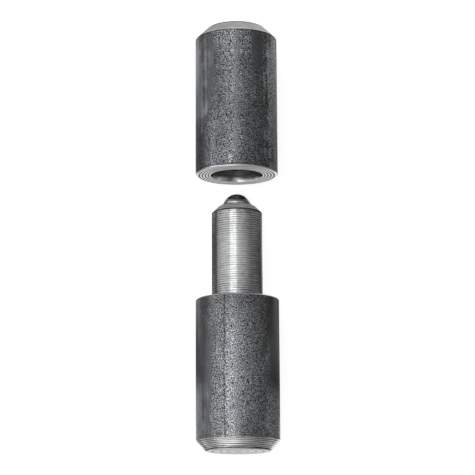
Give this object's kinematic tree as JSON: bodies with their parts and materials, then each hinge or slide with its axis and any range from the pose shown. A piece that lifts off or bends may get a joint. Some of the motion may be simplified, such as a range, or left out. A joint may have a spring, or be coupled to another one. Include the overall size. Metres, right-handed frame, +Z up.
{
  "type": "weld-on lift-off hinge",
  "caption": "Turned steel weld-on hinge, pulled apart on its axis: a blind-bored upper barrel, and a lower barrel whose pressed-in pin holds a captive thrust ball in its tip.",
  "frame": {"origin": "centre of the lower barrel's flat foot, on the hinge axis", "axes": "+Y along the hinge axis, from the lower barrel to the upper one; +Z up from the surface that both barrels lie on; the hinge is turned about Y, so X and Z are alike"},
  "size_m": [0.02, 0.104, 0.02],
  "materials": {
    "barrel_steel": "unturned dark rolled skin with a fine grain, bright turned ends and chamfers",
    "turned_steel": "bright turned steel with fine tool lines round it",
    "ball_steel": "polished hardened steel"
  },
  "bodies": {
    "lower_half": {"lower_barrel": "barrel_steel", "pin": "turned_steel"},
    "thrust_ball": {"ball": "ball_steel"},
    "upper_half": {"upper_barrel": "barrel_steel"}
  },
  "joints": [
    {"name": "swing", "type": "hinge", "parent": "lower_half", "child": "thrust_ball", "pos_m": [0, 0.0586, 0], "axis": [0, 1, 0], "continuous": true},
    {"name": "lift_off", "type": "slide", "parent": "thrust_ball", "child": "upper_half", "axis": [0, 1, 0], "range_m": [-0.03005, 0]}
  ]
}
